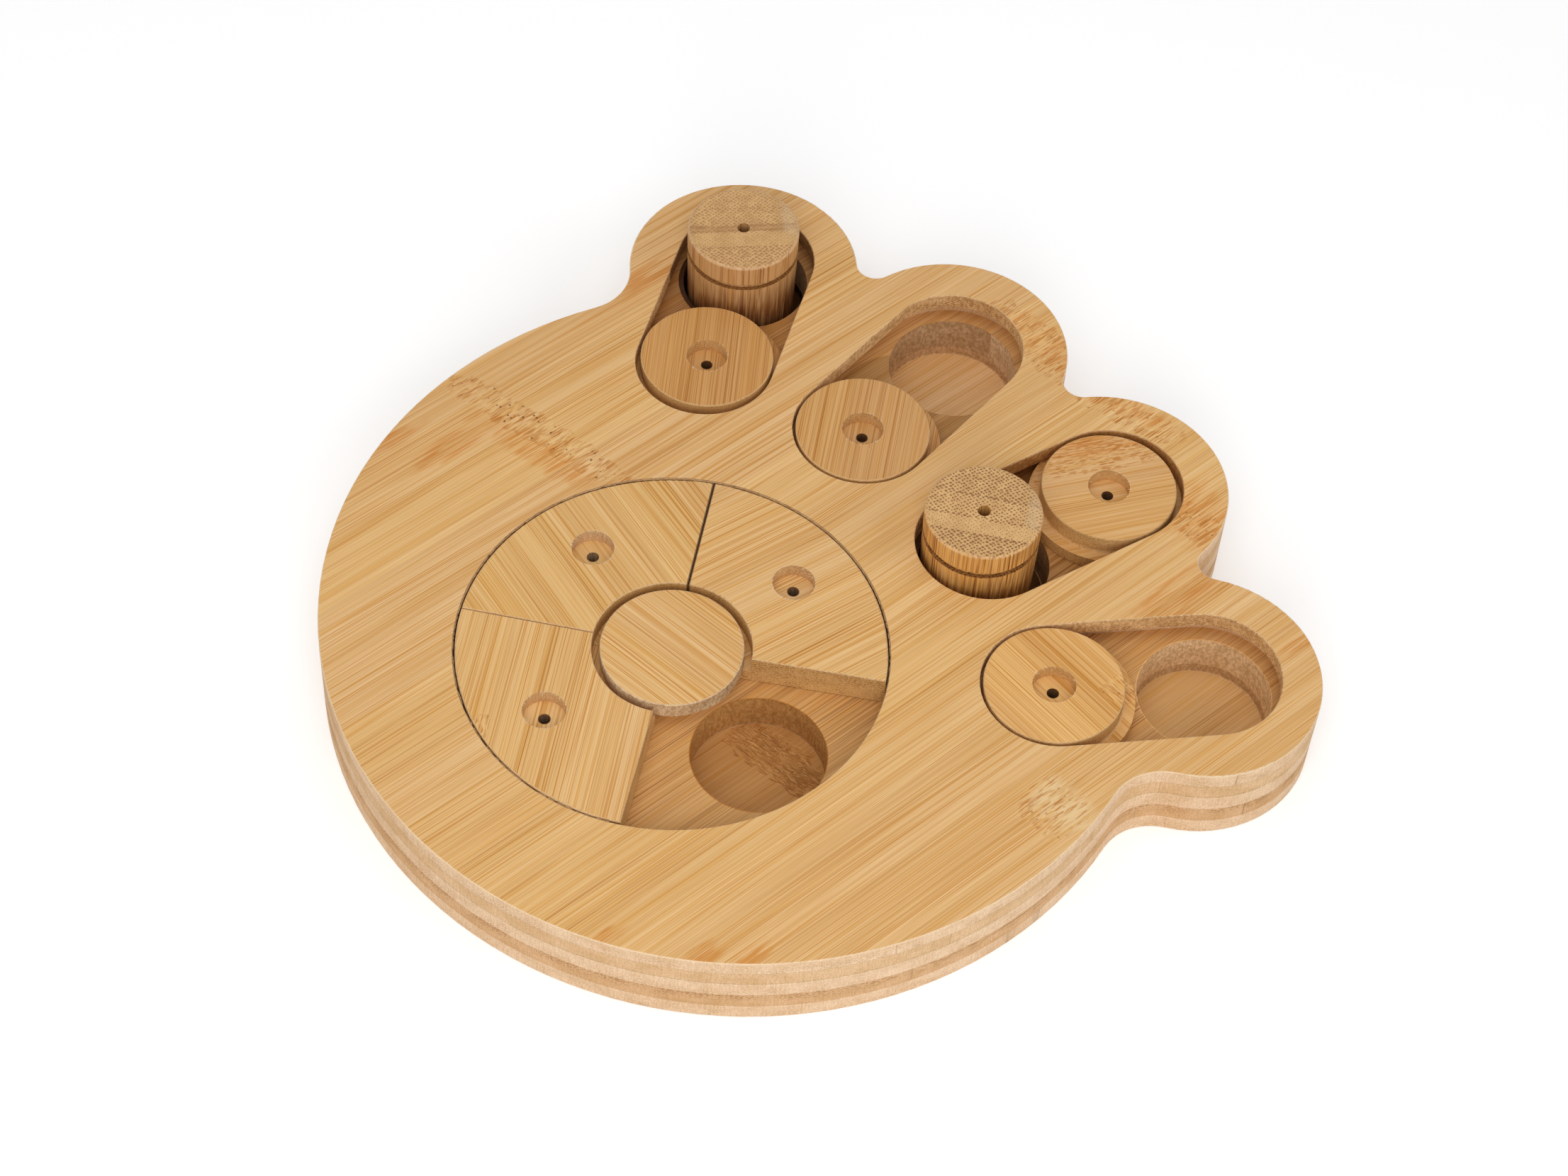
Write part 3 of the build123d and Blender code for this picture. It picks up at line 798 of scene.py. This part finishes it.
# %% Dress the loose pieces
TILE_JOINT = 129.15
DISHED = {
    "ring_tile_a": dict(title="Tile A bamboo", grain=-8, shift=(90, 7, 60), light=(0.78, 0.495, 0.205), strength=1.05,
                        worn_edge=0.4, joint=TILE_JOINT),
    "ring_tile_b": dict(title="Tile B bamboo", grain=83, shift=(150, 2, 70), crowd=0.9, strength=1.05, worn_edge=0.4,
                        torn=0.45, joint=TILE_JOINT),
    "ring_tile_c": dict(title="Tile C bamboo", grain=-50, shift=(230, 9, 80), strength=1.25, worn_edge=0.4, torn=0.45,
                        knuckles=[(40.8, -50.6, 5, 2.5)]),
    "toe_slider_1": dict(title="Slider 1 bamboo", grain=-45, shift=(330, 6, 90), light=(0.65, 0.345, 0.118),
                         dark=(0.38, 0.14, 0.024), worn_edge=0.3, torn=0.12),
    "toe_slider_2": dict(title="Slider 2 bamboo", grain=-50, shift=(430, 1, 15), light=(0.68, 0.387, 0.146),
                         dark=(0.42, 0.160, 0.026), strength=1.0, worn_edge=0.3, torn=0.15),
    "toe_slider_3": dict(title="Slider 3 bamboo", grain=65, shift=(530, 12, 25), light=(0.75, 0.455, 0.190), dotted=0.0,
                         short=2.4, knuckles=[(154, 46, 26, 11)], stains=[(154, 50, 26, 8)], worn_edge=0.12, torn=0.12),
    "toe_slider_4": dict(title="Slider 4 bamboo", grain=0, shift=(630, 15, 35), light=(0.80, 0.475, 0.180),
                         strength=1.1, knuckles=[(97, 98, 4, 8)], worn_edge=0.3, torn=0.12),
}
dress("hub", "Hub bamboo", grain=8, shift=(40, 4, 50), walls=((0.72, 0.51, 0.30), (0.57, 0.355, 0.175)), rough=1.0,
      strength=1.05, worn_edge=0.5)
# Each dished piece's scent hole gets painted shade on its wall.
for node, wood in DISHED.items():
    dress(node, walls=TAN_WALLS, dish=dish_place(node), dingy=[hole_place(node)], **wood)

# %% [markdown]
# ## Plugs
# The two plugs came from different blocks, so their slices, their turn and their tones differ. Each has its scent
# hole in the middle, darkened inside with painted shade.

# %% Dress the plugs
SLICES_1 = [(-30, -8.6, 0.37, 0.2, 0), (-8.6, -1.0, 0.18, 0.25, 0), (-1.0, 0.6, 0.28, 0.75, 1), (0.6, 9, 0.31, 0.2, 0),
            (9, 30, 0.28, 0.25, 0)]
SLICES_3 = [(-30, -9.5, 0.34, 0.2, 0), (-9.5, -3.5, 0.16, 0.0, 1), (-3.5, 6, 0.28, 0.0, 0), (6, 30, 0.32, 0.15, 1)]
# Painted shade inside each plug's scent hole.
PLUG_HOLE_SHADE = (1.9, (0.45, 0.36, 0.28))
dress("plug_toe_1", "Plug 1 bamboo", grain=20, shift=(11, 3, 5), strip=6.0, strength=0.85, worn_edge=0.3,
      light=(0.64, 0.375, 0.160), dark=(0.30, 0.110, 0.026), dingy=[(PLUG_1, *PLUG_HOLE_SHADE)],
      upright=dict(middle=PLUG_1, turn=55, slices=SLICES_1, dot_tone=(0.40, 0.190, 0.075)))
dress("plug_toe_3", "Plug 3 bamboo", grain=35, shift=(33, 9, 17), strip=6.0, strength=1.1, worn_edge=0.3,
      light=(0.74, 0.42, 0.135), dark=(0.25, 0.078, 0.010), dingy=[(PLUG_3, *PLUG_HOLE_SHADE)],
      upright=dict(middle=PLUG_3, turn=38, slices=SLICES_3, dot_tone=(0.22, 0.085, 0.028)))

# %% [markdown]
# ## Torn fibres
# A cutter running across the grain tears fibres loose, and the rims of the finger dishes stay ragged. Colour alone
# would leave those rims smooth in outline, so each torn fibre is a small real splinter. One splinter is modelled: a
# five-sided stick whose ends are drawn out to points. It is then copied, each copy with its own mesh, laid along the
# grain, and the copies on one piece are joined.

# %% Model one splinter
END_LENGTH, END_RISE, POINT = 0.3, 0.12, 0.18


def pick_faces(piece, wanted):
    """Selects only the faces that pass, ready for an edit-mode operator."""
    bpy.ops.object.mode_set(mode="OBJECT")
    mesh = piece.data
    for part in (mesh.vertices, mesh.edges, mesh.polygons):
        part.foreach_set("select", [False] * len(part))
    for face in mesh.polygons:
        face.select = wanted(face)
    bpy.ops.object.mode_set(mode="EDIT")
    bpy.ops.mesh.select_mode(type="FACE")


def build_splinter():
    bpy.ops.object.select_all(action="DESELECT")
    bpy.ops.mesh.primitive_cylinder_add(vertices=5, radius=0.5, depth=0.4, rotation=(0, math.pi / 2, 0))
    piece = bpy.context.object
    bpy.ops.object.transform_apply(location=False, rotation=True, scale=False)
    for side in (1, -1):
        pick_faces(piece, lambda face: face.normal.x * side > 0.9)
        bpy.ops.mesh.extrude_region_move(TRANSFORM_OT_translate={"value": (END_LENGTH * side, 0, END_RISE)})
        bpy.ops.transform.resize(value=(POINT, POINT, POINT))
        bpy.ops.object.mode_set(mode="OBJECT")
    return piece


splinter = build_splinter()
print("one splinter has", len(splinter.data.polygons), "faces")

# %% [markdown]
# ## Scatter the splinters
# Each copy is stretched to its length, width and height, tipped a little, turned to the grain, and set in its place.
# On a dish's rim they are thickest where the rim runs across the grain.

# %% Scatter
luck = random.Random(11)


def scatter(name, body, material, spots):
    """Spots are (x, y, z, length, width, height, turn, tip) in millimetres and degrees."""
    bpy.ops.object.select_all(action="DESELECT")
    copies = []
    for x, y, z, length, width, height, turn, tip in spots:
        mesh = splinter.data.copy()
        place = Matrix.Translation(Vector((x, y, z)) * MM)
        turned = Matrix.Rotation(math.radians(turn), 4, "Z") @ Matrix.Rotation(math.radians(tip), 4, "Y")
        mesh.transform(place @ turned @ Matrix.Diagonal((length * MM, width * MM, height * MM, 1.0)))
        copy = bpy.data.objects.new(name, mesh)
        bpy.context.scene.collection.objects.link(copy)
        copy.select_set(True)
        copies.append(copy)
    bpy.context.view_layer.objects.active = copies[0]
    bpy.ops.object.join()
    piece = bpy.context.object
    piece.name = name
    piece.data.materials.clear()
    piece.data.materials.append(material)
    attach(piece, body)
    print(name, "has", len(spots), "splinters and", len(piece.data.polygons), "faces")


def on_circle(middle, radius, around):
    angle = math.radians(around)
    return middle[0] + radius * math.cos(angle), middle[1] + radius * math.sin(angle)


print("splinters are laid by chance, the same way each time")

# %% Tear the dishes' rims
TORN = {"ring_tile_a": 90, "ring_tile_b": 70, "ring_tile_c": 80, "toe_slider_1": 22, "toe_slider_2": 40,
        "toe_slider_3": 16, "toe_slider_4": 30}
TORN_DEPTHS, SHALLOW = (0.05, 0.1, 0.3, 0.6, 1.2, 2.2), 0.2
RIM_RADIUS, WALL_RADIUS = 6.95, 6.78


def rim_spots(node, grain, count):
    middle, top, spots = dish_place(node), top_of(node), []
    while len(spots) < count:
        around = luck.uniform(0.0, 360.0)
        if luck.random() > 0.35 + 0.65 * abs(math.cos(math.radians(around - grain))):
            continue
        deep = luck.choice(TORN_DEPTHS)
        radius = RIM_RADIUS if deep < SHALLOW else WALL_RADIUS
        spots.append((*on_circle(middle, radius, around), top - deep, luck.uniform(0.7, 1.7), luck.uniform(0.2, 0.4),
                      luck.uniform(0.2, 0.4), grain + luck.uniform(-18, 18), luck.uniform(-12, 12)))
    return spots


torn_rim = bamboo("Torn rim bamboo", grain=0, shift=(3, 1, 2), light=(0.80, 0.58, 0.34), dark=(0.62, 0.40, 0.2),
                  walls=((0.80, 0.58, 0.35), (0.66, 0.44, 0.24)), worn_edge=0.5)
for node, count in TORN.items():
    _, kind, mark = node.split("_")
    grain = DISHED[node]["grain"]
    scatter(node + "_torn_rim", kind + "_" + mark, torn_rim, rim_spots(node, grain, count))

# %% [markdown]
# ## The frayed rim of the round opening
# The tiles rub against the rim of the round opening each time they are pushed round, and loosen short fibres there.
# They lie in the joint, along the rim, thickest where the tiles press hardest. They stay on the rim's side of the
# joint, clear of the tiles.

# %% Fray the rim
FRAY_RADIUS = 66.87
FRAYED_ARCS = ((66, 150, 460), (150, 218, 140), (218, 306, 110), (44, 66, 26))


def fray_spots():
    spots = []
    for start, end, count in FRAYED_ARCS:
        for _ in range(count):
            around = luck.uniform(start, end)
            spots.append((*on_circle((0, 0), FRAY_RADIUS, around), board_top - luck.uniform(0.15, 0.7),
                          luck.uniform(0.9, 2.2), luck.uniform(0.14, 0.22), luck.uniform(0.3, 0.6),
                          around + 90 + luck.uniform(-2.0, 2.0), luck.uniform(-5, 5)))
    return spots


frayed = bamboo("Frayed rim bamboo", grain=0, shift=(7, 4, 3), light=(0.74, 0.46, 0.20), dark=(0.52, 0.26, 0.07),
                walls=((0.74, 0.46, 0.21), (0.56, 0.31, 0.11)), worn_edge=0.2)
scatter("lip_ply_frayed_rim", "board", frayed, fray_spots())

# %% [markdown]
# ## The torn patch in the pad's pocket
# The cutter left the floor of this pocket rough: a band of torn fibres lies across it, browner than the rest.

# %% Lay the torn patch
PATCH_MIDDLE, PATCH_TURN, PATCH_HALF_LENGTH, PATCH_HALF_WIDTH = (41.0, 10.5), 11.0, 18.0, 8.0
PATCH_FLOOR, PATCH_REACH, PATCH_COUNT = 5.6, 20.7, 560


def patch_spots():
    spots = []
    c, s = math.cos(math.radians(PATCH_TURN)), math.sin(math.radians(PATCH_TURN))
    while len(spots) < PATCH_COUNT:
        u, v = luck.uniform(-PATCH_HALF_LENGTH, PATCH_HALF_LENGTH), luck.gauss(0.0, PATCH_HALF_WIDTH / 2)
        x, y = PATCH_MIDDLE[0] + u * c - v * s, PATCH_MIDDLE[1] + u * s + v * c
        length = luck.uniform(1.5, 5.0)
        if math.dist((x, y), PAD_POCKET) + length / 2 > PATCH_REACH or abs(v) > PATCH_HALF_WIDTH:
            continue
        spots.append((x, y, PATCH_FLOOR + luck.uniform(0.0, 0.15), length, luck.uniform(0.16, 0.4),
                      luck.uniform(0.3, 0.8), PATCH_TURN + luck.gauss(0.0, 12.0), luck.uniform(-5, 5)))
    return spots


torn_floor = bamboo("Torn floor bamboo", grain=11, shift=(5, 2, 8), light=(0.82, 0.46, 0.165),
                    dark=(0.34, 0.12, 0.022), walls=((0.70, 0.34, 0.10), (0.46, 0.20, 0.050)), worn_edge=0.0)
scatter("pad_pocket_torn_patch", "board", torn_floor, patch_spots())
bpy.data.objects.remove(splinter, do_unlink=True)

# %% [markdown]
# ## Floor, light and sky
# The table is white, lit by soft boxes all round, the strongest in front. The camera, mirrors and glass see a floor a
# little brighter than the one that lights the toy, so it reads as clean white and still keeps the shadow. Further
# out it turns plain white, so no horizon shows.

# %% Build the stage
TABLE_PAINT, TABLE_GLOW, TABLE_EDGE = (0.899, 0.90, 0.902), 0.30, (0.35, 0.9)
SKY_LEVEL, AIM = 0.35, (0, 0.03, 0)
SOFT_BOXES = {"front": ((0.62, -0.62, 0.60), 0.7, 5.1), "left": ((-0.75, -0.55, 0.60), 0.7, 1.5),
              "right": ((0.75, 0.65, 0.60), 0.7, 2.3), "back": ((-0.60, 0.75, 0.70), 0.7, 1.2),
              "above": ((0.07, -0.10, 1.0), 0.8, 2.5)}


def source(kind, strength):
    made = add(kind)
    made.inputs["Strength"].default_value = strength
    return made.outputs[0]


def mix_shaders(amount, *shaders):
    made = add("ShaderNodeMixShader")
    for socket, value in zip(made.inputs, (amount, *shaders)):
        feed(socket, value)
    return made.outputs[0]


def sees_backdrop():
    """One for rays that should meet the white backdrop: those of the camera, and those of mirrors and glass."""
    path = add("ShaderNodeLightPath").outputs
    clear = calc("MAXIMUM", path["Is Glossy Ray"], path["Is Transmission Ray"])
    return calc("MAXIMUM", path["Is Camera Ray"], clear)


def build_floor():
    bpy.ops.object.select_all(action="DESELECT")
    bpy.ops.mesh.primitive_plane_add(size=12.0, location=(0, 0, 0))
    floor = bpy.context.object
    floor.name = "studio_floor"
    material = bpy.data.materials.new("White table")
    material.use_nodes = True
    tree = draw_in(material.node_tree)
    tree.nodes.clear()
    paint = add("ShaderNodeBsdfDiffuse")
    feed(paint.inputs["Color"], TABLE_PAINT)
    both = add("ShaderNodeAddShader")
    feed(both.inputs[0], paint.outputs[0])
    feed(both.inputs[1], source("ShaderNodeEmission", TABLE_GLOW))
    off = distance_from(add("ShaderNodeTexCoord").outputs["Object"])
    outward = mix_shaders(fade(off, *TABLE_EDGE), both.outputs[0],
                          source("ShaderNodeEmission", 1.0))
    done = add("ShaderNodeOutputMaterial")
    feed(done.inputs["Surface"], mix_shaders(sees_backdrop(), paint.outputs[0], outward))
    floor.data.materials.append(material)


def area_light(name, place, size, power):
    data = bpy.data.lights.new(name, "AREA")
    data.shape, data.size, data.energy = "SQUARE", size, power
    lamp = bpy.data.objects.new(name, data)
    lamp.location = place
    lamp.rotation_euler = (Vector(AIM) - Vector(place)).to_track_quat("-Z", "Y").to_euler()
    bpy.context.scene.collection.objects.link(lamp)


def build_sky():
    world = bpy.data.worlds.new("Studio white")
    bpy.context.scene.world = world
    world.use_nodes = True
    tree = draw_in(world.node_tree)
    tree.nodes.clear()
    dim, white = source("ShaderNodeBackground", SKY_LEVEL), source("ShaderNodeBackground", 1.0)
    feed(white.node.inputs["Color"], (1, 1, 1))
    done = add("ShaderNodeOutputWorld")
    feed(done.inputs["Surface"], mix_shaders(sees_backdrop(), dim, white))


build_floor()
for side, (place, size, power) in SOFT_BOXES.items():
    area_light("soft_box_" + side, place, size, power)
build_sky()
bpy.context.scene.view_settings.view_transform = "Standard"
print("a white table,", len(SOFT_BOXES), "soft boxes and a dim white sky")
